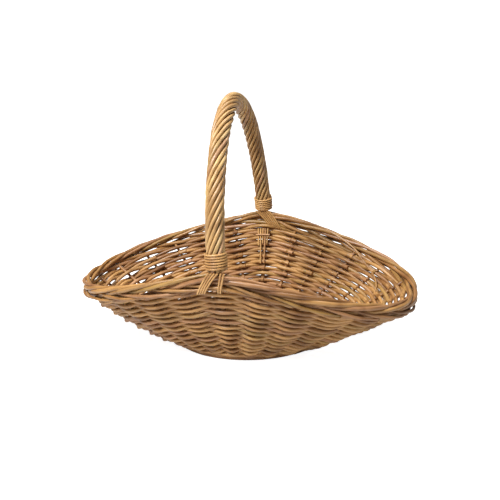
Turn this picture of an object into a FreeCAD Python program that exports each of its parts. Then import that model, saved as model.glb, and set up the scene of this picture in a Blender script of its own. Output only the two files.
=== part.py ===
import FreeCAD, Part
import bisect
import math
import os

# Boat-shaped willow gathering basket with a fixed roped hoop handle, in millimetres.
# The origin is under the middle of the basket on the surface that it stands on.
# +X runs along the long sides, +Y across the basket and +Z up.

V = FreeCAD.Vector

# Rim: centre line of the plaited border
RIM_HALF_LENGTH = 230.0
RIM_HALF_WIDTH = 141.5
RIM_SQUARENESS = 0.86
RIM_SIDE_HEIGHT = 137.0
RIM_LEFT_END_HEIGHT = 83.0
RIM_RIGHT_END_HEIGHT = 67.0
RIM_SWEEP = 1.05

# Base and wall
BASE_HALF_LENGTH = 105.8
BASE_HALF_WIDTH = 84.0
BASE_MIDDLE = 8.5
WALL_BELLY = 1.27
STAKE_COUNT = 24
STAKE_RADIUS = 2.3
STAKE_TOP_GAP = 13.6
WEAVER_RADIUS = 2.25
WEAVE_ROWS = 21
WEAVE_START = 8.5
WEAVE_END_GAP = 16.5
ROD_SPACINGS = 4
WEAVE_CLEARANCE = 0.2
WEAVER_END_GAP = 2.2
WEAVE_BEND = 25.0

# Border
BORDER_ROD_RADIUS = 2.4
BORDER_SPACINGS = 7
BORDER_DEPTH = 6.5
BORDER_HEIGHT = 9.0
BORDER_STEPS = 4
BORDER_END_SHARE = 0.5
BORDER_HANDLE_DEPTH = 7.8
TAIL_LEAN = 0.25
TAIL_LEAN_TOP = 2.0

# Handle
HANDLE_TOP = 332.0
HANDLE_ROUNDNESS = 1.05
HANDLE_LEAN = -3.6 / 200.0
HANDLE_FOOT = 15.0
CORE_RADIUS = 6.4
TAIL_RADIUS = 3.2
TAIL_TAPER = 9.0
STRAND_COUNT = 10
STRAND_RADIUS = 2.3
STRAND_LAY = 10.6
STRAND_PITCH = 128.0
STRAND_STEPS = 6

# Bindings and ties at the handle feet
BINDING_ROD_RADIUS = 1.3
BINDING_TURNS = 6
BINDING_PITCH = 3.2
BINDING_LAY = 15.1
TIE_RADIUS = 1.2

# Foot ring and woven base
FOOT_ROD_RADIUS = 2.9
FOOT_ROD_HEIGHT = 2.5
FOOT_OUTSET = 1.5
FOOT_RODS = 4
STICK_RADIUS = 2.4
CROSS_STICK_RADIUS = 3.8
STICK_END_GAP = 6.0
LONG_STICKS = 3
LONG_SPACING = 5.5
LONG_SPLAY = 54.0
CROSS_STICKS = 7
CROSS_SPACING = 15.0
CROSS_SPLAY = 16.0
BASE_RING_ROD_RADIUS = 1.5
BASE_CLEARANCE = 0.2
BASE_BEND = 6.0
BASE_RINGS = 12
BUNDLED_RINGS = 4


def arc_at(before, corner, after, share=0.45, largest=None):
    """Tangent points and middle of the arc that rounds one corner, or None if it is straight."""
    back = before - corner
    ahead = after - corner
    shorter = min(back.Length, ahead.Length)
    back.normalize()
    ahead.normalize()
    half_turn = (math.pi - back.getAngle(ahead)) / 2
    if half_turn < 0.002:
        return None
    reach = share * shorter
    if largest:
        reach = min(reach, largest * math.tan(half_turn))
    radius = reach / math.tan(half_turn)
    inward = back + ahead
    inward.normalize()
    middle = corner + inward * (radius / math.cos(half_turn) - radius)
    return corner + back * reach, middle, corner + ahead * reach


def rod(points, radius, largest=None):
    """Round rod along straight runs joined by tangent arcs."""
    edges = []
    last = points[0]
    for before, corner, after in zip(points, points[1:], points[2:]):
        arc = arc_at(before, corner, after, largest=largest)
        if arc is None:
            continue
        start, middle, end = arc
        edges.append(Part.LineSegment(last, start).toShape())
        edges.append(Part.Arc(start, middle, end).toShape())
        last = end
    edges.append(Part.LineSegment(last, points[-1]).toShape())
    path = Part.Wire(edges)
    section = Part.Wire([Part.makeCircle(radius, points[0], points[1] - points[0])])
    solid = path.makePipeShell([section], True, False, 1)
    expected = math.pi * radius ** 2 * path.Length
    if not solid.isValid() or abs(solid.Volume - expected) > 0.01 * expected:
        raise ValueError("a rod's sweep failed")
    return solid


def export(name, solids):
    """Write one node's solids to its STEP file."""
    shape = solids[0] if len(solids) == 1 else Part.makeCompound(solids)
    shape.exportStep("parts/" + name + ".step")


def rim_at_angle(angle):
    """Point on the border's centre line."""
    c = math.cos(angle)
    s = math.sin(angle)
    x = RIM_HALF_LENGTH * math.copysign(abs(c) ** RIM_SQUARENESS, c)
    y = RIM_HALF_WIDTH * math.copysign(abs(s) ** RIM_SQUARENESS, s)
    end_height = RIM_RIGHT_END_HEIGHT if x > 0 else RIM_LEFT_END_HEIGHT
    drop = abs(x / RIM_HALF_LENGTH) ** RIM_SWEEP
    return V(x, y, RIM_SIDE_HEIGHT - (RIM_SIDE_HEIGHT - end_height) * drop)


def half_rim_table(first_angle):
    """Running length and angle along half of the rim, from one handle foot to the other."""
    steps = 1500
    lengths = [0.0]
    angles = [first_angle]
    last = rim_at_angle(first_angle)
    for i in range(1, steps + 1):
        angle = first_angle + math.pi * i / steps
        point = rim_at_angle(angle)
        lengths.append(lengths[-1] + (point - last).Length)
        angles.append(angle)
        last = point
    return lengths, angles


RIM_HALVES = [half_rim_table(-math.pi / 2), half_rim_table(math.pi / 2)]
HALF_STAKES = STAKE_COUNT // 2
STATION_LENGTH = RIM_HALVES[0][0][-1] / HALF_STAKES


def rim_angle(station):
    """Angle of a station. Stations are even steps round the rim, one for each stake, from the
    handle foot on the -Y side towards +X; the other handle foot is at half of the stake count."""
    station %= STAKE_COUNT
    lengths, angles = RIM_HALVES[int(station // HALF_STAKES)]
    wanted = (station % HALF_STAKES) / HALF_STAKES * lengths[-1]
    i = max(1, bisect.bisect_left(lengths, wanted))
    part = (wanted - lengths[i - 1]) / (lengths[i] - lengths[i - 1])
    return angles[i - 1] + (angles[i] - angles[i - 1]) * part


def wall_curve(angle, share):
    """Point on the middle of the wall: share 0 is the base's edge and 1 is the rim."""
    foot = V(BASE_HALF_LENGTH * math.cos(angle), BASE_HALF_WIDTH * math.sin(angle), BASE_MIDDLE)
    top = rim_at_angle(angle)
    x = foot.x + (top.x - foot.x) * share
    y = foot.y + (top.y - foot.y) * share
    return V(x, y, foot.z + (top.z - foot.z) * share ** WALL_BELLY)


def wall_table(angle):
    """Running length up the wall at one angle, from the base's edge to the rim."""
    steps = 60
    lengths = [0.0]
    last = wall_curve(angle, 0)
    for i in range(1, steps + 1):
        point = wall_curve(angle, i / steps)
        lengths.append(lengths[-1] + (point - last).Length)
        last = point
    return lengths


def wall_length(station):
    """Length up the wall at a station."""
    return wall_table(rim_angle(station))[-1]


def wall_point(station, distance):
    """Point at a distance up the wall from the base's edge."""
    angle = rim_angle(station)
    lengths = wall_table(angle)
    i = min(len(lengths) - 1, max(1, bisect.bisect_left(lengths, distance)))
    part = (distance - lengths[i - 1]) / (lengths[i] - lengths[i - 1])
    return wall_curve(angle, (i - 1 + part) / (len(lengths) - 1))


def wall_spot(station, distance):
    """Point on the middle of the wall and its outward normal."""
    along = wall_point(station + 0.15, distance) - wall_point(station - 0.15, distance)
    upward = wall_point(station, distance + 1) - wall_point(station, distance - 1)
    normal = along.cross(upward)
    normal.normalize()
    return wall_point(station, distance), normal


def stake_radius(station):
    """Radius of the upright at a station: the handle's tails stand in for two of the stakes."""
    return TAIL_RADIUS if station % HALF_STAKES == 0 else STAKE_RADIUS


def row_distance(row, station):
    """Distance up the wall of one row of weaving."""
    span = wall_length(station) - WEAVE_START - WEAVE_END_GAP
    return WEAVE_START + span * row / (WEAVE_ROWS - 1)


def weaver(row, first):
    """One weaving rod: it starts behind a stake, and passes outside and inside by turns."""
    spacing = wall_point(first + 1, row_distance(row, first + 1))
    spacing = (spacing - wall_point(first, row_distance(row, first))).Length
    gap = WEAVER_END_GAP / spacing
    stations = [first + gap] + [first + i for i in range(1, ROD_SPACINGS)]
    stations.append(first + ROD_SPACINGS - gap)
    spots = [wall_spot(s, row_distance(row, s)) for s in stations]
    wanted = []
    for i in range(ROD_SPACINGS + 1):
        side = 1 if i % 2 else -1
        clear = stake_radius(first + i) + WEAVER_RADIUS + WEAVE_CLEARANCE
        at_end = i in (0, ROD_SPACINGS)
        wanted.append(side * (clear + (0.5 if at_end else 0)))
    offsets = list(wanted)
    for _ in range(5):
        points = [spot + normal * offset for (spot, normal), offset in zip(spots, offsets)]
        for i in range(1, ROD_SPACINGS):
            arc = arc_at(points[i - 1], points[i], points[i + 1], largest=WEAVE_BEND)
            if arc:
                reached = (arc[1] - spots[i][0]).dot(spots[i][1])
                offsets[i] += wanted[i] - reached
    return rod(points, WEAVER_RADIUS, WEAVE_BEND)


def weave_rows():
    """The wall's weaving, one node for each row."""
    for row in range(WEAVE_ROWS):
        start = row % 2 + 2 * (row // 2 % 2)
        firsts = range(start, start + STAKE_COUNT, ROD_SPACINGS)
        export("weave_row_%02d" % (row + 1), [weaver(row, first) for first in firsts])


def side_stakes():
    """Upright stakes from the base's edge to just below the border."""
    solids = []
    for station in range(STAKE_COUNT):
        if station % HALF_STAKES == 0:
            continue
        top = wall_length(station) - STAKE_TOP_GAP
        count = 6
        points = [wall_point(station, 1 + (top - 1) * i / count) for i in range(count + 1)]
        solids.append(rod(points, STAKE_RADIUS))
    export("side_stakes", solids)


def border_frame(station):
    """Point on the rim with its outward and upward directions, square to the rim."""
    middle = rim_at_angle(rim_angle(station))
    ahead = rim_at_angle(rim_angle(station + 0.2))
    behind = rim_at_angle(rim_angle(station - 0.2))
    along = ahead - behind
    outward = V(along.y, -along.x, 0)
    outward.normalize()
    upward = outward.cross(along)
    upward.normalize()
    return middle, outward, upward


def border_spot(station, outward_offset, upward_offset):
    """Point beside the rim's centre line."""
    middle, outward, upward = border_frame(station)
    return middle + outward * outward_offset + upward * upward_offset


def border_rods():
    """Plaited border: every rod swings up and down the band once, and in and out of it twice, on
    its way past seven stakes. The rods part round the handle's tails."""
    solids = []
    steps = BORDER_SPACINGS * BORDER_STEPS
    for k in range(STAKE_COUNT):
        ages = [i / BORDER_STEPS for i in range(steps + 1)]
        ages[0] += BORDER_END_SHARE / BORDER_STEPS
        ages[-1] -= BORDER_END_SHARE / BORDER_STEPS
        points = []
        for age in ages:
            phase = 2 * math.pi * age / BORDER_SPACINGS - math.pi / 2
            out = BORDER_DEPTH * math.sin(2 * phase)
            up = BORDER_HEIGHT * math.sin(phase)
            if (k + age) % HALF_STAKES == 0:
                out = math.copysign(BORDER_HANDLE_DEPTH, out) + TAIL_LEAN * min(TAIL_LEAN_TOP, up)
            points.append(border_spot(k + age, out, up))
        solids.append(rod(points, BORDER_ROD_RADIUS))
    export("border_rods", solids)


def bow_point(turn):
    """Point on the handle's centre line; turn runs from -pi/2 to pi/2 between the feet."""
    s = math.sin(turn)
    c = max(0.0, math.cos(turn))
    y = RIM_HALF_WIDTH * math.copysign(abs(s) ** HANDLE_ROUNDNESS, s)
    rise = (HANDLE_TOP - RIM_SIDE_HEIGHT) * c ** HANDLE_ROUNDNESS
    return V(HANDLE_LEAN * rise, y, RIM_SIDE_HEIGHT + rise)


def bow_table():
    """Running length along the handle between its two feet above the border."""
    first = math.acos((HANDLE_FOOT / (HANDLE_TOP - RIM_SIDE_HEIGHT)) ** (1 / HANDLE_ROUNDNESS))
    steps = 800
    turns = [-first + 2 * first * i / steps for i in range(steps + 1)]
    lengths = [0.0]
    for a, b in zip(turns, turns[1:]):
        lengths.append(lengths[-1] + (bow_point(b) - bow_point(a)).Length)
    return lengths, turns


BOW_LENGTHS, BOW_TURNS = bow_table()
BOW_LENGTH = BOW_LENGTHS[-1]


def bow_at(length):
    """Point on the handle at a length from its near foot."""
    length = min(BOW_LENGTH, max(0.0, length))
    i = max(1, bisect.bisect_left(BOW_LENGTHS, length))
    part = (length - BOW_LENGTHS[i - 1]) / (BOW_LENGTHS[i] - BOW_LENGTHS[i - 1])
    return bow_point(BOW_TURNS[i - 1] + (BOW_TURNS[i] - BOW_TURNS[i - 1]) * part)


def bow_frame(length):
    """Point on the handle with two directions square to it."""
    along = bow_at(length + 1) - bow_at(length - 1)
    along.normalize()
    sideways = V(1, 0, 0) - along * along.x
    sideways.normalize()
    return bow_at(length), sideways, along.cross(sideways)


def round_handle(length, radius, phase):
    """Point beside the handle's centre line."""
    middle, sideways, across = bow_frame(length)
    return middle + sideways * (radius * math.cos(phase)) + across * (radius * math.sin(phase))


def handle_core():
    """Bow under the roping, with two thinned tails that run down in the wall as stakes."""
    count = 22
    arch = [bow_at(BOW_LENGTH * i / count) for i in range(count + 1)]
    core = rod(arch, CORE_RADIUS)
    for ends, station in ((arch, 0), (arch[::-1], HALF_STAKES)):
        down = ends[0] - ends[1]
        down.normalize()
        core = core.fuse(Part.makeCone(CORE_RADIUS, TAIL_RADIUS, TAIL_TAPER, ends[0], down))
        tip = ends[0] + down * TAIL_TAPER
        length = wall_length(station)
        points = [tip, tip + down * 6]
        points += [wall_point(station, length - d) for d in (14, 36, 60, 84, 108)]
        points.append(wall_point(station, 3))
        core = core.fuse(rod(points, TAIL_RADIUS, 60))
    core = core.removeSplitter()
    export("handle_core", core.Solids)


def handle_strands():
    """Roping: rods wound side by side round the bow as a right-handed helix."""
    solids = []
    steps = round(BOW_LENGTH / STRAND_PITCH * STRAND_STEPS)
    for k in range(STRAND_COUNT):
        points = []
        for i in range(steps + 1):
            length = BOW_LENGTH * i / steps
            phase = 2 * math.pi * (length / STRAND_PITCH + k / STRAND_COUNT)
            points.append(round_handle(length, STRAND_LAY, phase))
        solids.append(rod(points, STRAND_RADIUS))
    export("handle_strands", solids)


def binding(name, from_far_foot):
    """Thin rod bound round the roping at one handle foot."""
    points = []
    steps_round = 8
    for i in range(BINDING_TURNS * steps_round + 1):
        length = 2.0 + BINDING_PITCH * i / steps_round
        if from_far_foot:
            length = BOW_LENGTH - length
        points.append(round_handle(length, BINDING_LAY, 2 * math.pi * i / steps_round))
    export(name, [rod(points, BINDING_ROD_RADIUS)])


def tie(foot_station, shift, slant, side):
    """Thin rod from under a binding over the border's outer or inner side and back under it."""
    route = ((11.6, 13.8, 0.0), (13.6, 8.5, 0.2), (13.9, -3.5, 0.6), (13.2, -9.5, 0.85),
             (12.2, -14.5, 1.0))
    points = []
    for out, up, share in route:
        station = foot_station + (shift + slant * share) / STATION_LENGTH
        points.append(border_spot(station, side * out, up))
    return rod(points, TIE_RADIUS)


def handle_ties():
    """Ties that hold the handle down to the border."""
    near = [tie(0, shift, -20.0, 1) for shift in (-7.6, -3.8, 0.0, 3.8)]
    near += [tie(0, shift, -6.0, 1) for shift in (8.4, 12.0)]
    export("near_ties", near)
    far = [tie(HALF_STAKES, shift, -22.0, -1) for shift in (9.5, 5.7, 1.9, -1.9, -5.7, -9.5)]
    export("far_ties", far)


def foot_liners():
    """Thin liners driven down inside the far wall at the handle, held by a short cross rod."""
    length = wall_length(HALF_STAKES)
    inset = 11.2
    solids = []
    for shift, depth in ((-8.0, 40), (-4.0, 72), (0.0, 40), (4.0, 72), (8.0, 44)):
        station = HALF_STAKES + shift / STATION_LENGTH
        points = []
        for i in range(4):
            spot, normal = wall_spot(station, length - 19 - (depth - 19) * i / 3)
            points.append(spot - normal * inset)
        solids.append(rod(points, TIE_RADIUS))
    points = []
    for shift in (-12.0, 12.0):
        spot, normal = wall_spot(HALF_STAKES + shift / STATION_LENGTH, length - 27)
        points.append(spot - normal * (inset + 3.3))
    solids.append(rod(points, TIE_RADIUS))
    export("foot_liners", solids)


def foot_ring():
    """Thick rods round the base's edge, worn flat where the basket stands."""
    below = Part.makeBox(400, 400, 20, V(-200, -200, -20))
    solids = []
    for k in range(FOOT_RODS):
        points = []
        for turn in (-44.4, -27.0, -9.0, 9.0, 27.0, 44.4):
            angle = math.radians(360 * k / FOOT_RODS + turn)
            x = (BASE_HALF_LENGTH + FOOT_OUTSET) * math.cos(angle)
            y = (BASE_HALF_WIDTH + FOOT_OUTSET) * math.sin(angle)
            points.append(V(x, y, FOOT_ROD_HEIGHT))
        solids += rod(points, FOOT_ROD_RADIUS).cut(below).Solids
    export("foot_ring", solids)


def half_spokes():
    """Inner and outer ends of the base's spokes from the +X end to the last cross stick;
    the other half is the same, turned by half a turn."""
    step = math.pi / (LONG_STICKS + CROSS_STICKS)
    inner = [V(LONG_SPLAY, LONG_SPACING * (k - 1), 0) for k in range(LONG_STICKS)]
    inner += [V(CROSS_SPACING * (3 - k), CROSS_SPLAY, 0) for k in range(CROSS_STICKS)]
    spokes = []
    for i, start in enumerate(inner):
        angle = step * (i - 1)
        x = (BASE_HALF_LENGTH - STICK_END_GAP) * math.cos(angle)
        y = (BASE_HALF_WIDTH - STICK_END_GAP) * math.sin(angle)
        spokes.append((start, V(x, y, 0)))
    return spokes


def base_stick(spoke, opposite, radius):
    """Stick that runs through the middle of the base and splays at both ends."""
    level = V(0, 0, BASE_MIDDLE)
    points = [level - opposite[1], level - opposite[0], level + spoke[0], level + spoke[1]]
    return rod(points, radius, 20)


def base_sticks():
    """Oval base: thin long sticks through slits in thick cross sticks."""
    spokes = half_spokes()
    ends = spokes[:LONG_STICKS]
    sides = spokes[LONG_STICKS:]
    long_sticks = [base_stick(a, b, STICK_RADIUS) for a, b in zip(ends, reversed(ends))]
    slit_width = LONG_SPACING * LONG_STICKS + 0.4
    slit_height = 2 * STICK_RADIUS + 0.2
    cross_sticks = []
    for a, b in zip(sides, reversed(sides)):
        corner = V(a[0].x - 8, -slit_width / 2, BASE_MIDDLE - slit_height / 2)
        slit = Part.makeBox(16, slit_width, slit_height, corner)
        cross_sticks.append(base_stick(a, b, CROSS_STICK_RADIUS).cut(slit))
    export("base_long_sticks", long_sticks)
    export("base_cross_sticks", cross_sticks)


def base_ring(number):
    """One round of base weaving, over and under the spokes by turns. The first rounds take
    the long sticks together, before they splay."""
    share = 0.06 + 0.9 * number / (BASE_RINGS - 1)
    side = 1 if number % 2 else -1
    half = []
    for i, (start, end) in enumerate(half_spokes()):
        on_long_stick = i < LONG_STICKS
        stick = STICK_RADIUS if on_long_stick else CROSS_STICK_RADIUS
        lift = side * (stick + BASE_RING_ROD_RADIUS + BASE_CLEARANCE)
        half.append((start + (end - start) * share, lift))
        together = number < BUNDLED_RINGS and i < LONG_STICKS - 1
        if not together:
            side = -side
    middle = V(0, 0, BASE_MIDDLE)
    spots = [middle + spot for spot, lift in half] + [middle - spot for spot, lift in half]
    turned = 1 if side == (1 if number % 2 else -1) else -1
    wanted = [lift for spot, lift in half] + [turned * lift for spot, lift in half]
    lifts = list(wanted)
    for _ in range(4):
        points = [spot + V(0, 0, lift) for spot, lift in zip(spots, lifts)]
        for i in range(1, len(points) - 1):
            arc = arc_at(points[i - 1], points[i], points[i + 1], largest=BASE_BEND)
            if arc:
                lifts[i] += wanted[i] - (arc[1].z - BASE_MIDDLE)
    start = points[0] + (points[1] - points[0]) * 0.12
    end = points[0] + (points[-1] - points[0]) * 0.12
    return rod([start] + points[1:] + [end], BASE_RING_ROD_RADIUS, BASE_BEND)


def base_weave():
    """Weaving of the base."""
    export("base_weave", [base_ring(number) for number in range(BASE_RINGS)])


def main():
    os.makedirs("parts", exist_ok=True)
    base_sticks()
    base_weave()
    foot_ring()
    side_stakes()
    weave_rows()
    border_rods()
    handle_core()
    handle_strands()
    binding("near_binding", False)
    binding("far_binding", True)
    handle_ties()
    foot_liners()


main()
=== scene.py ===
"""Willow gathering basket: woven rods, plaited border, roped handle and studio."""
import bisect
import math
import random

import bpy
from mathutils import Matrix, Vector


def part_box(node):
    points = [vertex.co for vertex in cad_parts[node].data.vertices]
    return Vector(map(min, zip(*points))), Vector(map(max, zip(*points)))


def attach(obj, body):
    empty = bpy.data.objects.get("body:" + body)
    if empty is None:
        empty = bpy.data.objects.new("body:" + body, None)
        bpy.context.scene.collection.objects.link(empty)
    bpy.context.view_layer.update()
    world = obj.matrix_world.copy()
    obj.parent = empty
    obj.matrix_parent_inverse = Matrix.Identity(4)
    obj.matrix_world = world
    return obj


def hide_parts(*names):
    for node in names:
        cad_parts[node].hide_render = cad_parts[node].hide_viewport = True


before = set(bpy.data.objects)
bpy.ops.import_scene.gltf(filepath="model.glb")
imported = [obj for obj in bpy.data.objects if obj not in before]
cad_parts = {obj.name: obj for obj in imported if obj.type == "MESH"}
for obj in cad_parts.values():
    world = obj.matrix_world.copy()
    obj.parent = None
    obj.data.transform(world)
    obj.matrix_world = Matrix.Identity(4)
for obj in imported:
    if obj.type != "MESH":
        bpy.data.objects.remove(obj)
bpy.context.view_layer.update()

bl_info = {
    "name": "Willow gathering basket",
    "version": (1, 0, 0),
    "blender": (4, 5, 0),
    "location": "3D View > Sidebar > Basket",
    "description": "Builds a boat-shaped willow basket with a roped hoop handle",
    "category": "Add Mesh",
}

MM = 0.001
HALF_TURN = math.pi
FULL_TURN = 2 * math.pi
ROOT = "root"
PATTERN_SHIFT = 7.3

# The rim's centre line runs this far inside the border of the frame
BORDER_HALF_DEPTH = 8.9 * MM
BORDER_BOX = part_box("border_rods")
RIM_HALF_LENGTH = (BORDER_BOX[1][0] - BORDER_BOX[0][0]) / 2 - BORDER_HALF_DEPTH
ROW_NODES = sorted(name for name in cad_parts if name.startswith("weave_row_"))


def length_property(name, description, default):
    """A size in metres that the sidebar shows with its unit."""
    return bpy.props.FloatProperty(
        name=name, description=description, default=default, unit="LENGTH", precision=5
    )


def share_property(name, description, default):
    """A plain number between 0 and 1 or a little over."""
    return bpy.props.FloatProperty(name=name, description=description, default=default)


def colour_property(name, description, default):
    """A colour that the sidebar shows as a swatch."""
    return bpy.props.FloatVectorProperty(
        name=name, description=description, default=default, subtype="COLOR", size=3, min=0, max=1
    )


class BasketSizes(bpy.types.PropertyGroup):
    """Sizes of the basket's wall, border and handle"""

    rim_half_length: length_property(
        "Rim half length", "From the middle to the border's centre line at an end", RIM_HALF_LENGTH
    )
    rim_half_width: length_property(
        "Rim half width", "From the middle to the border's centre line at a handle foot", 141.5 * MM
    )
    rim_squareness: share_property("Rim squareness", "1 is an ellipse and less is fuller", 0.86)
    rim_side_height: length_property("Side height", "Rim height at the handle", 133 * MM)
    rim_left_height: length_property("Left end height", "Rim height at the -X end", 83 * MM)
    rim_right_height: length_property("Right end height", "Rim height at the +X end", 67 * MM)
    rim_sweep: share_property("Rim sweep", "1 drops straight from the handle to the ends", 1.0)
    base_half_length: length_property("Base half length", "Half of the base along X", 105.8 * MM)
    base_half_width: length_property("Base half width", "Half of the base along Y", 84 * MM)
    base_middle: length_property("Base level", "Height of the base sticks", 8.5 * MM)
    wall_belly: share_property("Wall belly", "1 is a straight wall and more is rounder", 1.27)
    stakes: bpy.props.IntProperty(name="Stakes", description="Uprights round the wall", default=24)
    stake_radius: length_property("Stake radius", "Radius of an upright", 2.3 * MM)
    weaver_radius: length_property("Weaver radius", "Radius of a weaving rod", 3.0 * MM)
    rows: bpy.props.IntProperty(name="Rows", description="Rows of weaving up the wall", default=27)
    border_rod_radius: length_property("Border rod radius", "At its thick end", 2.95 * MM)
    border_depth: length_property("Border depth", "How far a rod swings in and out", 4.7 * MM)
    border_height: length_property("Border height", "How far a rod swings up and down", 8.4 * MM)
    handle_top: length_property("Handle height", "Centre line of the handle's top", 332 * MM)
    core_radius: length_property("Bow radius", "Radius of the bow under the roping", 7.4 * MM)
    strands: bpy.props.IntProperty(name="Strands", description="Rods of the roping", default=10)
    strand_radius: length_property("Strand radius", "Radius of a roping rod", 2.55 * MM)
    strand_pitch: length_property("Strand pitch", "Length of one turn of the roping", 128 * MM)
    binding_radius: length_property("Binding radius", "Radius of a binding rod", 1.35 * MM)


class BasketColours(bpy.types.PropertyGroup):
    """Colours of the willow"""

    brown: colour_property("Brown rods", "Darkest of the rods", (0.19, 0.078, 0.022))
    tan: colour_property("Tan rods", "Most of the rods", (0.36, 0.170, 0.054))
    gold: colour_property("Golden rods", "Warm light rods", (0.50, 0.262, 0.088))
    rose: colour_property("Rosy rods", "Pinkish rods", (0.40, 0.195, 0.086))
    green: colour_property("Greenish rods", "Rods with a grey-green cast", (0.37, 0.205, 0.060))
    cut: colour_property("Cut ends", "Pale wood where a rod is cut", (0.60, 0.41, 0.22))
    floor: colour_property("Floor", "Studio floor", (0.72, 0.71, 0.70))


class BasketShape:
    """Places on the basket, worked out from its sizes."""

    rim_crown = 0.10
    bow_roundness = 1.05
    bow_lean = -0.018
    weave_start = 3.2 * MM
    weave_end_gap = 12.0 * MM

    def __init__(self, sizes):
        self.sizes = sizes
        self.half_stakes = sizes.stakes // 2
        self.halves = [self.half_rim(-HALF_TURN / 2), self.half_rim(HALF_TURN / 2)]
        self.station_length = self.halves[0][0][-1] / self.half_stakes
        self.foot_rise = 15 * MM
        self.bow_lengths, self.bow_turns = self.bow_table()
        self.bow_length = self.bow_lengths[-1]
        self.wall_tables = {}

    def rim_at_angle(self, angle):
        """Point on the border's centre line."""
        s = self.sizes
        c, n = math.cos(angle), math.sin(angle)
        x = s.rim_half_length * math.copysign(abs(c) ** s.rim_squareness, c)
        y = s.rim_half_width * math.copysign(abs(n) ** s.rim_squareness, n)
        end = s.rim_right_height if x > 0 else s.rim_left_height
        crown = self.rim_crown
        part = (math.hypot(x / s.rim_half_length, crown) - crown) / (math.hypot(1, crown) - crown)
        drop = part ** s.rim_sweep
        return Vector((x, y, s.rim_side_height - (s.rim_side_height - end) * drop))

    def half_rim(self, first):
        """Running length and angle along half of the rim, from one handle foot to the other."""
        steps = 1200
        lengths, angles = [0.0], [first]
        last = self.rim_at_angle(first)
        for i in range(1, steps + 1):
            angle = first + HALF_TURN * i / steps
            point = self.rim_at_angle(angle)
            lengths.append(lengths[-1] + (point - last).length)
            angles.append(angle)
            last = point
        return lengths, angles

    def angle(self, station):
        """Angle of a station. Stations are even steps round the rim, one for each stake, from
        the handle foot on the -Y side towards +X."""
        station %= self.sizes.stakes
        lengths, angles = self.halves[int(station // self.half_stakes) % 2]
        wanted = (station % self.half_stakes) / self.half_stakes * lengths[-1]
        i = max(1, bisect.bisect_left(lengths, wanted))
        part = (wanted - lengths[i - 1]) / (lengths[i] - lengths[i - 1])
        return angles[i - 1] + (angles[i] - angles[i - 1]) * part

    def wall_curve(self, angle, share):
        """Point on the middle of the wall: share 0 is the base's edge and 1 is the rim."""
        s = self.sizes
        x = s.base_half_length * math.cos(angle)
        y = s.base_half_width * math.sin(angle)
        top = self.rim_at_angle(angle)
        rise = (top.z - s.base_middle) * max(0.0, share) ** s.wall_belly
        return Vector((x + (top.x - x) * share, y + (top.y - y) * share, s.base_middle + rise))

    def wall_table(self, station):
        """Angle and running length up the wall at a station."""
        key = round(station % self.sizes.stakes, 4)
        if key not in self.wall_tables:
            angle = self.angle(station)
            steps = 48
            lengths = [0.0]
            last = self.wall_curve(angle, 0)
            for i in range(1, steps + 1):
                point = self.wall_curve(angle, i / steps)
                lengths.append(lengths[-1] + (point - last).length)
                last = point
            self.wall_tables[key] = angle, lengths
        return self.wall_tables[key]

    def wall_length(self, station):
        """Length up the wall at a station."""
        return self.wall_table(station)[1][-1]

    def wall_point(self, station, distance):
        """Point at a distance up the wall from the base's edge."""
        angle, lengths = self.wall_table(station)
        i = min(len(lengths) - 1, max(1, bisect.bisect_left(lengths, distance)))
        part = (distance - lengths[i - 1]) / (lengths[i] - lengths[i - 1])
        return self.wall_curve(angle, (i - 1 + part) / (len(lengths) - 1))

    def wall_spot(self, station, distance):
        """Point on the middle of the wall and its outward normal."""
        here = self.wall_point(station, distance)
        along = self.wall_point(station + 0.15, distance) - self.wall_point(station - 0.15, distance)
        upward = self.wall_point(station, distance + MM) - self.wall_point(station, distance - MM)
        return here, along.cross(upward).normalized()

    def row_distance(self, row, station):
        """Distance up the wall of one row of weaving."""
        span = self.wall_length(station) - self.weave_start - self.weave_end_gap
        return self.weave_start + span * row / (self.sizes.rows - 1)

    def border_spot(self, station, out, up):
        """Point beside the rim's centre line."""
        middle = self.rim_at_angle(self.angle(station))
        ahead = self.rim_at_angle(self.angle(station + 0.2))
        behind = self.rim_at_angle(self.angle(station - 0.2))
        along = ahead - behind
        outward = Vector((along.y, -along.x, 0)).normalized()
        upward = outward.cross(along).normalized()
        return middle + outward * out + upward * up

    def bow_point(self, turn):
        """Point on the handle's centre line; turn runs from -90 to 90 degrees between the feet."""
        s = self.sizes
        n, c = math.sin(turn), max(0.0, math.cos(turn))
        rise = (s.handle_top - s.rim_side_height) * c ** self.bow_roundness
        y = s.rim_half_width * math.copysign(abs(n) ** self.bow_roundness, n)
        return Vector((self.bow_lean * rise, y, s.rim_side_height + rise))

    def bow_table(self):
        """Running length along the handle between its two feet above the border."""
        s = self.sizes
        foot_share = self.foot_rise / (s.handle_top - s.rim_side_height)
        first = math.acos(foot_share ** (1 / self.bow_roundness))
        steps = 800
        turns = [-first + 2 * first * i / steps for i in range(steps + 1)]
        lengths = [0.0]
        for a, b in zip(turns, turns[1:]):
            lengths.append(lengths[-1] + (self.bow_point(b) - self.bow_point(a)).length)
        return lengths, turns

    def bow_at(self, length):
        """Point on the handle at a length from its near foot."""
        lengths, turns = self.bow_lengths, self.bow_turns
        length = min(lengths[-1], max(0.0, length))
        i = max(1, bisect.bisect_left(lengths, length))
        part = (length - lengths[i - 1]) / (lengths[i] - lengths[i - 1])
        return self.bow_point(turns[i - 1] + (turns[i] - turns[i - 1]) * part)

    def around_bow(self, length, radius, phase):
        """Point beside the handle's centre line."""
        along = (self.bow_at(length + MM) - self.bow_at(length - MM)).normalized()
        sideways = (Vector((1, 0, 0)) - along * along.x).normalized()
        across = along.cross(sideways)
        middle = self.bow_at(length)
        return middle + (sideways * math.cos(phase) + across * math.sin(phase)) * radius


def shape_of(context):
    """The basket's shape for the sizes in the sidebar."""
    return BasketShape(context.scene.basket_sizes)


# ---------------------------------------------------------------- willow finishes


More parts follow.
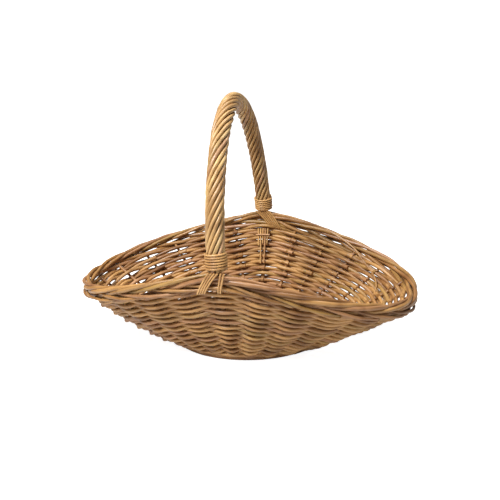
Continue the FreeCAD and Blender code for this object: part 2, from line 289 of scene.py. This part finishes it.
def new_nodes(name):
    """A material with an empty node tree, its output and a Principled shader."""
    material = bpy.data.materials.new(name)
    material.use_nodes = True
    tree = material.node_tree
    tree.nodes.clear()
    output = tree.nodes.new("ShaderNodeOutputMaterial")
    shader = tree.nodes.new("ShaderNodeBsdfPrincipled")
    tree.links.new(shader.outputs["BSDF"], output.inputs["Surface"])
    return material, tree, shader


def stretched_noise(tree, source, scale, detail, roughness=0.55):
    """Noise on a stretched copy of a coordinate."""
    mapping = tree.nodes.new("ShaderNodeMapping")
    mapping.inputs["Scale"].default_value = scale
    noise = tree.nodes.new("ShaderNodeTexNoise")
    noise.inputs["Scale"].default_value = 1.0
    noise.inputs["Detail"].default_value = detail
    noise.inputs["Roughness"].default_value = roughness
    tree.links.new(source, mapping.inputs["Vector"])
    tree.links.new(mapping.outputs["Vector"], noise.inputs["Vector"])
    return noise.outputs["Fac"]


def ramp(tree, source, stops):
    """Colour ramp with the given stops."""
    node = tree.nodes.new("ShaderNodeValToRGB")
    elements = node.color_ramp.elements
    while len(elements) < len(stops):
        elements.new(0.5)
    for element, (place, colour) in zip(elements, stops):
        element.position = place
        element.color = (*colour, 1.0)
    tree.links.new(source, node.inputs["Fac"])
    return node.outputs["Color"]


def blend_colours(tree, kind, factor, first, second):
    """Mix node on two colours."""
    node = tree.nodes.new("ShaderNodeMix")
    node.data_type = "RGBA"
    node.blend_type = kind
    node.inputs["Factor"].default_value = factor
    tree.links.new(first, node.inputs["A"])
    tree.links.new(second, node.inputs["B"])
    return node.outputs["Result"]


def grey(value):
    """The same value in all three channels."""
    return (value, value, value)


def willow(name, colours, light, gloss, tint_shift):
    """Peeled buff willow: each rod has its own tint, with streaks along it and soft stains."""
    _, tree, shader = new_nodes(name)
    uv = tree.nodes.new("ShaderNodeUVMap")
    uv.uv_map = "UVMap"
    place = tree.nodes.new("ShaderNodeTexCoord")
    tint = tree.nodes.new("ShaderNodeAttribute")
    tint.attribute_name = "tint"
    tint_value = tint.outputs["Fac"]
    if tint_shift:
        shift = tree.nodes.new("ShaderNodeMath")
        shift.operation = "ADD"
        shift.use_clamp = True
        shift.inputs[1].default_value = tint_shift
        tree.links.new(tint_value, shift.inputs[0])
        tint_value = shift.outputs["Value"]
    rod_colour = ramp(tree, tint_value, [
        (0.0, colours.brown), (0.16, colours.tan), (0.42, colours.gold), (0.60, colours.tan),
        (0.76, colours.rose), (0.88, colours.green), (1.0, colours.gold),
    ])
    streaks = stretched_noise(tree, uv.outputs["UV"], (26, 9, 1), 5)
    streak_shade = ramp(tree, streaks, [
        (0.30, (0.52, 0.44, 0.38)), (0.50, grey(1.0)), (0.72, (1.30, 1.32, 1.36)),
    ])
    stains = stretched_noise(tree, place.outputs["Object"], (38, 38, 38), 3)
    stain_shade = ramp(tree, stains, [
        (0.34, (0.60, 0.50, 0.42)), (0.50, grey(1.0)), (0.70, (1.12, 1.14, 1.14)),
    ])
    specks = stretched_noise(tree, uv.outputs["UV"], (210, 16, 1), 2)
    speck_shade = ramp(tree, specks, [(0.28, (0.42, 0.34, 0.28)), (0.37, grey(1.0))])
    colour = blend_colours(tree, "MULTIPLY", 0.75, rod_colour, streak_shade)
    colour = blend_colours(tree, "MULTIPLY", 0.8, colour, stain_shade)
    colour = blend_colours(tree, "MULTIPLY", 0.55, colour, speck_shade)
    shade = tree.nodes.new("ShaderNodeMix")
    shade.data_type = "RGBA"
    shade.blend_type = "MULTIPLY"
    shade.inputs["Factor"].default_value = 1.0
    shade.inputs["B"].default_value = (*light, 1)
    tree.links.new(colour, shade.inputs["A"])
    tree.links.new(shade.outputs["Result"], shader.inputs["Base Color"])
    rough = tree.nodes.new("ShaderNodeMapRange")
    rough.inputs["To Min"].default_value = gloss - 0.09
    rough.inputs["To Max"].default_value = gloss + 0.17
    tree.links.new(streaks, rough.inputs["Value"])
    tree.links.new(rough.outputs["Result"], shader.inputs["Roughness"])
    bump = tree.nodes.new("ShaderNodeBump")
    bump.inputs["Strength"].default_value = 0.45
    bump.inputs["Distance"].default_value = 0.35 * MM
    tree.links.new(streaks, bump.inputs["Height"])
    tree.links.new(bump.outputs["Normal"], shader.inputs["Normal"])


def cut_wood(colours):
    """Pale end of a cut rod, with faint rings."""
    _, tree, shader = new_nodes("cut_wood")
    place = tree.nodes.new("ShaderNodeTexCoord")
    noise = stretched_noise(tree, place.outputs["Object"], (900, 900, 900), 3)
    dim = tuple(c * 0.6 for c in colours.cut)
    colour = ramp(tree, noise, [(0.35, dim), (0.6, tuple(colours.cut))])
    tree.links.new(colour, shader.inputs["Base Color"])
    shader.inputs["Roughness"].default_value = 0.75


def finish_of(name, context, light, gloss=0.4, tint_shift=0.0):
    """The named willow finish, made once, and the finish of cut ends."""
    colours = context.scene.basket_colours
    finish = name + "_finish"
    if finish not in bpy.data.materials:
        willow(finish, colours, light, gloss, tint_shift)
    if "cut_wood" not in bpy.data.materials:
        cut_wood(colours)
    return [bpy.data.materials[finish], bpy.data.materials["cut_wood"]]


# ---------------------------------------------------------------- rods


def bend_rod(points, radii, tint, smooth=8, sides=3):
    """One willow rod bent through the points, as a mesh with its tint and its length in its UV."""
    bpy.ops.object.select_all(action="DESELECT")
    bpy.ops.curve.primitive_bezier_curve_add()
    curve = bpy.context.object.data
    curve.dimensions = "3D"
    curve.splines.clear()
    spline = curve.splines.new("BEZIER")
    spline.bezier_points.add(len(points) - 1)
    for knot, point, radius in zip(spline.bezier_points, points, radii):
        knot.handle_left_type = "AUTO"
        knot.handle_right_type = "AUTO"
        knot.co = point
        knot.radius = radius
    curve.bevel_depth = 1.0
    curve.bevel_resolution = sides
    curve.resolution_u = smooth
    curve.use_fill_caps = True
    bpy.ops.object.convert(target="MESH")
    rod = bpy.context.object
    mesh = rod.data
    length = sum((b - a).length for a, b in zip(points, points[1:]))
    values = [0.0] * (2 * len(mesh.loops))
    layer = mesh.uv_layers[0]
    layer.uv.foreach_get("vector", values)
    start = tint * PATTERN_SHIFT
    values[0::2] = [start + value * length for value in values[0::2]]
    layer.uv.foreach_set("vector", values)
    attribute = mesh.attributes.new("tint", "FLOAT", "POINT")
    attribute.data.foreach_set("value", [tint] * len(mesh.vertices))
    mesh.materials.clear()
    mesh.materials.append(None)
    mesh.materials.append(None)
    caps = [1 if len(face.vertices) == 3 else 0 for face in mesh.polygons]
    mesh.polygons.foreach_set("material_index", caps)
    return rod


def finish_piece(rods, name, nodes, finishes, rough=0.35 * MM):
    """Joins rods into one named piece, makes their skin a little uneven and places it."""
    bpy.ops.object.select_all(action="DESELECT")
    for rod in rods:
        rod.select_set(True)
    bpy.context.view_layer.objects.active = rods[0]
    if len(rods) > 1:
        bpy.ops.object.join()
    piece = bpy.context.object
    piece.name = name
    piece.data.name = name
    bpy.ops.object.mode_set(mode="EDIT")
    bpy.ops.mesh.select_all(action="SELECT")
    bpy.ops.mesh.remove_doubles(threshold=0.002 * MM)
    bpy.ops.mesh.normals_make_consistent(inside=False)
    bpy.ops.object.mode_set(mode="OBJECT")
    texture = bpy.data.textures.get("willow_skin") or bpy.data.textures.new("willow_skin", "CLOUDS")
    texture.noise_scale = 0.011
    skin = piece.modifiers.new("skin", "DISPLACE")
    skin.texture = texture
    skin.texture_coords = "LOCAL"
    skin.strength = 2 * rough
    skin.mid_level = 0.5
    bpy.ops.object.modifier_apply(modifier="skin")
    bpy.ops.object.shade_smooth_by_angle(angle=math.radians(50))
    for index, finish in enumerate(finishes):
        piece.data.materials[index] = finish
    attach(piece, ROOT)
    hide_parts(*nodes)


def taper(count, thick, thin):
    """Radii that go from thick to thin along a rod."""
    return [thick + (thin - thick) * i / (count - 1) for i in range(count)]


class BASKET_OT_base(bpy.types.Operator):
    """Build the base: slit cross sticks, long sticks through them, and their weaving"""

    bl_idname = "basket.base"
    bl_label = "Base"

    rounds = 17
    first_share = -0.09
    share_span = 1.075
    paired_rounds = 6
    long_radius = 2.5 * MM
    cross_radius = 3.9 * MM

    def spokes(self, sizes):
        """Inner and outer ends of half of the base's spokes, round from the +X end."""
        step = HALF_TURN / 10
        inner = [Vector((54 * MM, 5.5 * MM * (k - 1), 0)) for k in range(3)]
        inner += [Vector((15 * MM * (3 - k), 16 * MM, 0)) for k in range(7)]
        spokes = []
        for i, start in enumerate(inner):
            angle = step * (i - 1)
            x = (sizes.base_half_length - 1 * MM) * math.cos(angle)
            y = (sizes.base_half_width - 1 * MM) * math.sin(angle)
            spokes.append((start, Vector((x, y, 0))))
        return spokes

    def stick(self, spoke, opposite, radius, level, tint):
        """One stick right across the base, splayed at both ends."""
        a, b, c, d = -opposite[1], -opposite[0], spoke[0], spoke[1]
        points = [a, a.lerp(b, 0.5), b, b.lerp(c, 0.25), b.lerp(c, 0.75), c, c.lerp(d, 0.5), d]
        points = [point + level for point in points]
        return bend_rod(points, taper(len(points), radius, radius * 0.92), tint, 6)

    def ring(self, spokes, number, level, draw):
        """One round of base weaving, over and under the spokes by turns."""
        share = self.first_share + self.share_span * number / (self.rounds - 1)
        first_side = 1 if number % 2 else -1
        side = first_side
        half = []
        for i, (start, end) in enumerate(spokes):
            stick = 2.4 * MM if i < 3 else 3.8 * MM
            half.append((start.lerp(end, share), side * (stick + 1.6 * MM)))
            if not (number < self.paired_rounds and i < 2):
                side = -side
        turned = 1 if side == first_side else -1
        around = half + [(-spot, turned * lift) for spot, lift in half]
        points = [level + spot + Vector((0, 0, lift)) for spot, lift in around]
        points.append(points[0].lerp(points[-1], 0.08))
        points[0] = points[0].lerp(points[1], 0.08)
        radii = [draw.uniform(1.75, 2.0) * MM for _ in points]
        return bend_rod(points, radii, draw.random(), 5)

    def execute(self, context):
        sizes = context.scene.basket_sizes
        draw = random.Random(11)
        level = Vector((0, 0, sizes.base_middle))
        spokes = self.spokes(sizes)
        ends, sides = spokes[:3], spokes[3:]
        finishes = finish_of("base_willow", context, light=grey(0.88), gloss=0.5)
        long_sticks = [
            self.stick(a, b, self.long_radius, level, draw.random())
            for a, b in zip(ends, ends[::-1])
        ]
        finish_piece(
            long_sticks, "willow_base_long_sticks", ["base_long_sticks"], finishes
        )
        cross_sticks = [
            self.stick(a, b, self.cross_radius, level, draw.random())
            for a, b in zip(sides, sides[::-1])
        ]
        finish_piece(
            cross_sticks, "willow_base_cross_sticks", ["base_cross_sticks"], finishes
        )
        rings = [self.ring(spokes, number, level, draw) for number in range(self.rounds)]
        finish_piece(rings, "willow_base_weave", ["base_weave"], finishes)
        return {"FINISHED"}


class BASKET_OT_foot(bpy.types.Operator):
    """Build the foot: a thick ring under the base's edge and two thinner, looser rings above it"""

    bl_idname = "basket.foot"
    bl_label = "Foot"

    # Each ring's outset, height and rod radius in millimetres, its rods and its looseness
    rings = ((1.5, 2.9, 2.9, 4, 0.0), (4.2, 7.4, 2.3, 5, 0.5), (8.6, 10.8, 2.0, 6, 0.9))

    def execute(self, context):
        sizes = context.scene.basket_sizes
        draw = random.Random(12)
        rods = []
        for outset, height, radius, count, sway in self.rings:
            arc = 360 / count + 6 * sway
            marks = 9 if sway == 0 else 13
            for k in range(count):
                points = []
                for i in range(marks):
                    angle = math.radians(360 / count * k + arc * (i / (marks - 1) - 0.5))
                    shift = sway * draw.uniform(-0.8, 0.8)
                    x = (sizes.base_half_length + (outset + shift) * MM) * math.cos(angle)
                    y = (sizes.base_half_width + (outset + shift) * MM) * math.sin(angle)
                    lift = sway * draw.uniform(-0.7, 0.7)
                    points.append(Vector((x, y, (height + lift) * MM)))
                radii = taper(marks, radius * MM, radius * 0.88 * MM)
                rods.append(bend_rod(points, radii, draw.random(), 5))
        finishes = finish_of("foot_willow", context, light=grey(0.85), gloss=0.5)
        finish_piece(rods, "willow_foot_ring", ["foot_ring"], finishes, 0.1 * MM)
        return {"FINISHED"}


class BASKET_OT_stakes(bpy.types.Operator):
    """Build the stakes that stand between the base and the border"""

    bl_idname = "basket.stakes"
    bl_label = "Stakes"

    def execute(self, context):
        shape = shape_of(context)
        sizes = shape.sizes
        draw = random.Random(13)
        rods = []
        for station in range(sizes.stakes):
            if station % shape.half_stakes == 0:
                continue
            top = shape.wall_length(station) - 6 * MM
            count = 9
            points = [shape.wall_point(station, top * i / count) for i in range(count + 1)]
            radii = taper(count + 1, sizes.stake_radius * 1.06, sizes.stake_radius * 0.94)
            rods.append(bend_rod(points, radii, draw.random(), 5))
        finishes = finish_of("stake_willow", context, light=grey(0.94))
        finish_piece(rods, "willow_side_stakes", ["side_stakes"], finishes)
        return {"FINISHED"}


class BASKET_OT_weave(bpy.types.Operator):
    """Build the wall's weaving, row by row"""

    bl_idname = "basket.weave"
    bl_label = "Weaving"

    spacings = 4
    first_row_with_outer_ends = 3
    left_end_cosine = -0.8

    def weaver(self, shape, row, first, draw):
        """One weaving rod, thick at its butt and thin at its tip, outside and inside by turns."""
        sizes = shape.sizes
        thick = sizes.weaver_radius * draw.uniform(0.92, 1.10)
        thin = sizes.weaver_radius * draw.uniform(0.76, 0.92)
        ends = [first - draw.uniform(0.10, 0.24), first + self.spacings + draw.uniform(0.06, 0.2)]
        marks = [ends[0]] + [first + 0.5 * i for i in range(1, 2 * self.spacings)] + [ends[1]]
        wander = draw.uniform(-0.2, 0.2) * MM
        climb = draw.uniform(-0.6, 0.6) * MM
        points = []
        for i, station in enumerate(marks):
            part = i / (2 * self.spacings)
            distance = shape.row_distance(row, station) + wander + climb * (part - 0.5)
            distance += draw.uniform(-0.4, 0.4) * MM
            spot, normal = shape.wall_spot(station, distance)
            if i in (0, 2 * self.spacings):
                reach = 0.9 * sizes.stake_radius + thick + draw.uniform(0.4, 1.6) * MM
                at_left_end = math.cos(shape.angle(station)) < self.left_end_cosine
                outside = at_left_end and row >= self.first_row_with_outer_ends
                offset = reach + 1.2 * MM if outside else -reach
            elif i % 2:
                offset = draw.uniform(-0.7, 0.7) * MM
            else:
                side = 1 if i % 4 else -1
                tail = 0.9 * MM if (first + i // 2) % shape.half_stakes == 0 else 0.0
                endness = abs(math.cos(shape.angle(station)))
                press = draw.uniform(0.62, 0.86) + 0.32 * endness ** 2
                offset = side * (press * (sizes.stake_radius + sizes.weaver_radius) + tail)
            points.append(spot + normal * offset)
        radii = taper(len(points), thick, thin)
        return bend_rod(points, radii, draw.random(), 6)

    def execute(self, context):
        shape = shape_of(context)
        draw = random.Random(14)
        finishes = finish_of("weave_willow", context, light=(0.98, 1.02, 1.05), gloss=0.38)
        pieces = {node: [] for node in ROW_NODES}
        for row in range(shape.sizes.rows):
            start = row % 2 + 2 * (row // 2 % 2)
            node = ROW_NODES[row * len(ROW_NODES) // shape.sizes.rows]
            for first in range(start, start + shape.sizes.stakes, self.spacings):
                pieces[node].append(self.weaver(shape, row, first, draw))
        for node, rods in pieces.items():
            finish_piece(rods, "willow_" + node, [node], finishes)
        return {"FINISHED"}


class BASKET_OT_border(bpy.types.Operator):
    """Build the plaited border: each rod swings up and down the band once"""

    bl_idname = "basket.border"
    bl_label = "Border"

    spacings = 7
    marks_per_spacing = 4

    def border_rod(self, shape, k, draw):
        """One border rod, thick where it leaves its stake and thin where it is tucked away."""
        sizes = shape.sizes
        marks = self.spacings * self.marks_per_spacing
        quarter = shape.half_stakes // 2
        thick = sizes.border_rod_radius * draw.uniform(0.9, 1.1)
        swell = draw.uniform(0.92, 1.04)
        drift = draw.uniform(-0.16, 0.16)
        radii, points = [], []
        for i in range(marks + 1):
            age = i / self.marks_per_spacing
            station = k + age
            phase = FULL_TURN * (age + drift) / self.spacings - HALF_TURN / 2
            up = sizes.border_height * math.sin(phase) * swell + draw.uniform(-0.35, 0.35) * MM
            out = sizes.border_depth * math.sin(2 * phase) + draw.uniform(-0.35, 0.35) * MM
            away = (station + quarter) % shape.half_stakes - quarter
            out += math.copysign(1.5 * MM * math.exp(-(away / 0.25) ** 2), out)
            points.append(shape.border_spot(station, out, up))
            radii.append(thick * (1.05 - 0.45 * (i / marks) ** 1.6))
        return bend_rod(points, radii, draw.random(), 4)

    def stray_rod(self, shape):
        """Thin rod laid from the far border down the inside of the wall towards the +X end."""
        route = ((10.1, -2.0, 10.5), (9.6, -5.0, 7.5), (9.0, -9.0, 1.5))
        points = [shape.border_spot(at, out * MM, up * MM) for at, out, up in route]
        for station, down in ((8.4, 17), (7.8, 27), (7.3, 38), (6.9, 50)):
            spot, normal = shape.wall_spot(station, shape.wall_length(station) - down * MM)
            points.append(spot - normal * 8.5 * MM)
        return bend_rod(points, taper(len(points), 1.7 * MM, 1.1 * MM), 0.34, 6)

    def execute(self, context):
        shape = shape_of(context)
        draw = random.Random(15)
        rods = [self.border_rod(shape, k, draw) for k in range(shape.sizes.stakes)]
        rods.append(self.stray_rod(shape))
        finishes = finish_of("border_willow", context, light=(0.86, 0.88, 0.86), gloss=0.34)
        finish_piece(rods, "willow_border", ["border_rods"], finishes)
        return {"FINISHED"}


class BASKET_OT_handle(bpy.types.Operator):
    """Build the handle: the bow with its tails, and the roping round it"""

    bl_idname = "basket.handle"
    bl_label = "Handle"

    def bow(self, shape):
        """Bow with two thinned tails that run down in the wall."""
        sizes = shape.sizes
        thin = 3.2 * MM
        points, radii = [], []
        for station in (0, shape.half_stakes):
            length = shape.wall_length(station)
            tail = [
                shape.wall_point(station, 3 * MM + (length - 20 * MM) * i / 6) for i in range(7)
            ]
            foot = shape.bow_at(0 if station == 0 else shape.bow_length)
            tail.append(foot - Vector((0, 0, 9 * MM)))
            if station == 0:
                points += tail
                radii += [thin] * len(tail)
                count = 28
                points += [shape.bow_at(shape.bow_length * i / count) for i in range(count + 1)]
                radii += [sizes.core_radius] * (count + 1)
            else:
                points += tail[::-1]
                radii += [thin] * len(tail)
        return bend_rod(points, radii, 0.2, 4)

    def strand(self, shape, k, draw):
        """One rod of the roping, wound as a right-handed helix."""
        sizes = shape.sizes
        steps = 36
        lay = 12.0 * MM - sizes.strand_radius
        radius = sizes.strand_radius * draw.uniform(0.9, 1.06)
        points = []
        for i in range(steps + 1):
            length = shape.bow_length * i / steps
            phase = FULL_TURN * (length / sizes.strand_pitch + k / sizes.strands)
            phase += draw.uniform(-0.03, 0.03)
            points.append(shape.around_bow(length, lay + draw.uniform(-0.25, 0.25) * MM, phase))
        return bend_rod(points, taper(steps + 1, radius, radius * 0.9), draw.random(), 6)

    def execute(self, context):
        shape = shape_of(context)
        draw = random.Random(16)
        finishes = finish_of("core_willow", context, light=grey(0.65), gloss=0.6)
        finish_piece([self.bow(shape)], "willow_bow", ["handle_core"], finishes)
        strands = [self.strand(shape, k, draw) for k in range(shape.sizes.strands)]
        finishes = finish_of(
            "rope_willow", context, light=(1.22, 1.50, 1.85), gloss=0.34, tint_shift=0.08
        )
        finish_piece(strands, "willow_roping", ["handle_strands"], finishes, 0.25 * MM)
        return {"FINISHED"}


class BASKET_OT_bindings(bpy.types.Operator):
    """Build the bindings and ties that hold the handle's feet"""

    bl_idname = "basket.bindings"
    bl_label = "Bindings and ties"

    def binding(self, shape, far, draw):
        """Thin rod bound six times round one foot of the roping."""
        marks = 8
        turns = 6
        points = []
        for i in range(turns * marks + 1):
            length = 2 * MM + 3.2 * MM * i / marks
            if far:
                length = shape.bow_length - length
            lay = 12.7 * MM + draw.uniform(-0.15, 0.15) * MM
            points.append(shape.around_bow(length, lay, FULL_TURN * i / marks))
        radius = shape.sizes.binding_radius
        return bend_rod(points, [radius] * len(points), draw.uniform(0.24, 0.40), 4)

    def tie(self, shape, station, shift, slant, side, draw):
        """Thin rod from under a binding over the border and back under it."""
        route = (
            (11.6, 15.5, -0.04), (11.4, 11.0, 0.14), (11.0, 5.5, 0.36), (10.8, 0.0, 0.58),
            (10.2, -5.5, 0.80), (8.6, -10.5, 1.0),
        )
        points = []
        for out, up, share in route:
            place = station + (shift + slant * share) * MM / shape.station_length
            points.append(shape.border_spot(place, side * out * MM, up * MM))
        radius = 1.25 * MM * draw.uniform(0.9, 1.1)
        radii = taper(len(points), radius, radius * 0.85)
        return bend_rod(points, radii, draw.uniform(0.24, 0.42), 6)

    def liners(self, shape, draw):
        """Thin liners inside the far wall at the handle, held by a short cross rod."""
        length = shape.wall_length(shape.half_stakes)
        inset = 10.6 * MM
        rods = []
        for shift, depth in ((-8, 40), (-4, 72), (0, 40), (4, 72), (8, 44)):
            station = shape.half_stakes + shift * MM / shape.station_length
            points = []
            for i in range(4):
                down = 17 + (depth - 17) * i / 3
                spot, normal = shape.wall_spot(station, length - down * MM)
                points.append(spot - normal * inset)
            rods.append(bend_rod(points, taper(4, 1.3 * MM, 1.1 * MM), draw.random(), 5))
        points = []
        for shift in (-12, -4, 4, 12):
            station = shape.half_stakes + shift * MM / shape.station_length
            spot, normal = shape.wall_spot(station, length - 27 * MM)
            points.append(spot - normal * (inset + 2.4 * MM))
        rods.append(bend_rod(points, taper(4, 1.3 * MM, 1.2 * MM), draw.random(), 5))
        return rods

    def execute(self, context):
        shape = shape_of(context)
        draw = random.Random(17)
        far_station = shape.half_stakes
        finishes = finish_of(
            "binding_willow", context, light=(1.20, 1.32, 1.45), gloss=0.38, tint_shift=0.1
        )
        near = [self.binding(shape, False, draw)]
        finish_piece(near, "willow_near_binding", ["near_binding"], finishes, 0.08 * MM)
        far = [self.binding(shape, True, draw)]
        finish_piece(far, "willow_far_binding", ["far_binding"], finishes, 0.08 * MM)
        ties = [self.tie(shape, 0, shift, -19, 1, draw) for shift in (-7.2, -3.9, -0.6, 2.7)]
        ties += [self.tie(shape, 0, shift, -4, 1, draw) for shift in (6.6, 9.8)]
        finish_piece(ties, "willow_near_ties", ["near_ties"], finishes, 0.08 * MM)
        shifts = (9.0, 5.4, 1.8, -1.8, -5.4, -9.0)
        ties = [self.tie(shape, far_station, shift, -21, -1, draw) for shift in shifts]
        finish_piece(ties, "willow_far_ties", ["far_ties"], finishes, 0.08 * MM)
        rods = self.liners(shape, draw)
        finish_piece(rods, "willow_foot_liners", ["foot_liners"], finishes, 0.08 * MM)
        return {"FINISHED"}


class BASKET_OT_studio(bpy.types.Operator):
    """Build the floor, the soft lights and the camera"""

    bl_idname = "basket.studio"
    bl_label = "Studio"

    def soft_light(self, name, place, aim, size, power):
        """Square area light aimed at a point."""
        bpy.ops.object.light_add(type="AREA", location=place)
        light = bpy.context.object
        light.name = name
        light.data.size = size
        light.data.energy = power
        light.rotation_euler = (Vector(place) - Vector(aim)).to_track_quat("Z", "Y").to_euler()

    def camera(self):
        """Camera a little above the rim, in front and to the right of the handle."""
        azimuth, elevation, roll = (math.radians(a) for a in (13.82, 18.21, -3.27))
        distance = 0.9753
        target = Vector((0.0078, 0, 0.12708))
        level = math.cos(elevation)
        back = Vector((math.sin(azimuth) * level, -math.cos(azimuth) * level, math.sin(elevation)))
        right = Vector((math.cos(azimuth), math.sin(azimuth), 0))
        up = back.cross(right)
        turned_right = right * math.cos(roll) + up * math.sin(roll)
        turned_up = up * math.cos(roll) - right * math.sin(roll)
        bpy.ops.object.camera_add(location=target + back * distance)
        camera = bpy.context.object
        camera.name = "studio_camera"
        columns = Matrix((turned_right, turned_up, back)).transposed()
        camera.rotation_euler = columns.to_euler()
        camera.data.sensor_width = 36
        camera.data.lens = 50.3
        camera.data.clip_start = 0.01
        bpy.context.scene.camera = camera

    def execute(self, context):
        scene = context.scene
        bpy.ops.object.select_all(action="DESELECT")
        bpy.ops.mesh.primitive_circle_add(vertices=96, radius=6, fill_type="NGON")
        floor = bpy.context.object
        floor.name = "studio_floor"
        material, tree, shader = new_nodes("studio_floor")
        place = tree.nodes.new("ShaderNodeTexCoord")
        noise = stretched_noise(tree, place.outputs["Object"], (3, 3, 3), 2)
        floor_colour = tuple(scene.basket_colours.floor)
        paler = tuple(min(1, c * 1.02) for c in floor_colour)
        tree.links.new(
            ramp(tree, noise, [(0.3, floor_colour), (0.7, paler)]), shader.inputs["Base Color"]
        )
        shader.inputs["Roughness"].default_value = 0.9
        seen = tree.nodes.new("ShaderNodeLightPath")
        glow = tree.nodes.new("ShaderNodeMapRange")
        glow.inputs["To Min"].default_value = 0.0
        glow.inputs["To Max"].default_value = 0.93
        tree.links.new(seen.outputs["Is Camera Ray"], glow.inputs["Value"])
        tree.links.new(glow.outputs["Result"], shader.inputs["Emission Strength"])
        shader.inputs["Emission Color"].default_value = (1, 1, 1, 1)
        floor.data.materials.append(material)
        world = bpy.data.worlds.new("studio_air")
        world.use_nodes = True
        air = world.node_tree
        air.nodes["Background"].inputs["Color"].default_value = (1, 1, 1, 1)
        seen = air.nodes.new("ShaderNodeLightPath")
        strength = air.nodes.new("ShaderNodeMapRange")
        strength.inputs["To Min"].default_value = 0.18
        strength.inputs["To Max"].default_value = 1.1
        air.links.new(seen.outputs["Is Camera Ray"], strength.inputs["Value"])
        air.links.new(strength.outputs["Result"], air.nodes["Background"].inputs["Strength"])
        scene.world = world
        middle = (0, 0, 0.12)
        self.soft_light("key_light", (-0.5, -0.9, 1.45), middle, 0.45, 41)
        self.soft_light("top_light", (0.35, 0.3, 1.9), middle, 0.7, 19)
        scene.view_settings.view_transform = "Standard"
        self.camera()
        return {"FINISHED"}


PIECES = (
    BASKET_OT_base,
    BASKET_OT_foot,
    BASKET_OT_stakes,
    BASKET_OT_weave,
    BASKET_OT_border,
    BASKET_OT_handle,
    BASKET_OT_bindings,
    BASKET_OT_studio,
)


class BASKET_PT_sidebar(bpy.types.Panel):
    """Sidebar panel with the basket's sizes, colours and building steps"""

    bl_idname = "BASKET_PT_sidebar"
    bl_label = "Willow basket"
    bl_space_type = "VIEW_3D"
    bl_region_type = "UI"
    bl_category = "Basket"

    def draw(self, context):
        layout = self.layout
        for group in (context.scene.basket_sizes, context.scene.basket_colours):
            column = layout.column(align=True)
            for name in group.__annotations__:
                column.prop(group, name)
        for piece in PIECES:
            layout.operator(piece.bl_idname)


CLASSES = (BasketSizes, BasketColours, *PIECES, BASKET_PT_sidebar)


def register():
    """Adds the basket's classes and settings to Blender."""
    for item in CLASSES:
        bpy.utils.register_class(item)
    bpy.types.Scene.basket_sizes = bpy.props.PointerProperty(type=BasketSizes)
    bpy.types.Scene.basket_colours = bpy.props.PointerProperty(type=BasketColours)


def unregister():
    """Takes the basket's classes and settings out of Blender."""
    del bpy.types.Scene.basket_colours
    del bpy.types.Scene.basket_sizes
    for item in reversed(CLASSES):
        bpy.utils.unregister_class(item)


def main():
    """Builds the basket piece by piece, then its studio."""
    register()
    bpy.ops.basket.base()
    bpy.ops.basket.foot()
    bpy.ops.basket.stakes()
    bpy.ops.basket.weave()
    bpy.ops.basket.border()
    bpy.ops.basket.handle()
    bpy.ops.basket.bindings()
    bpy.ops.basket.studio()


if __name__ == "__main__":
    main()
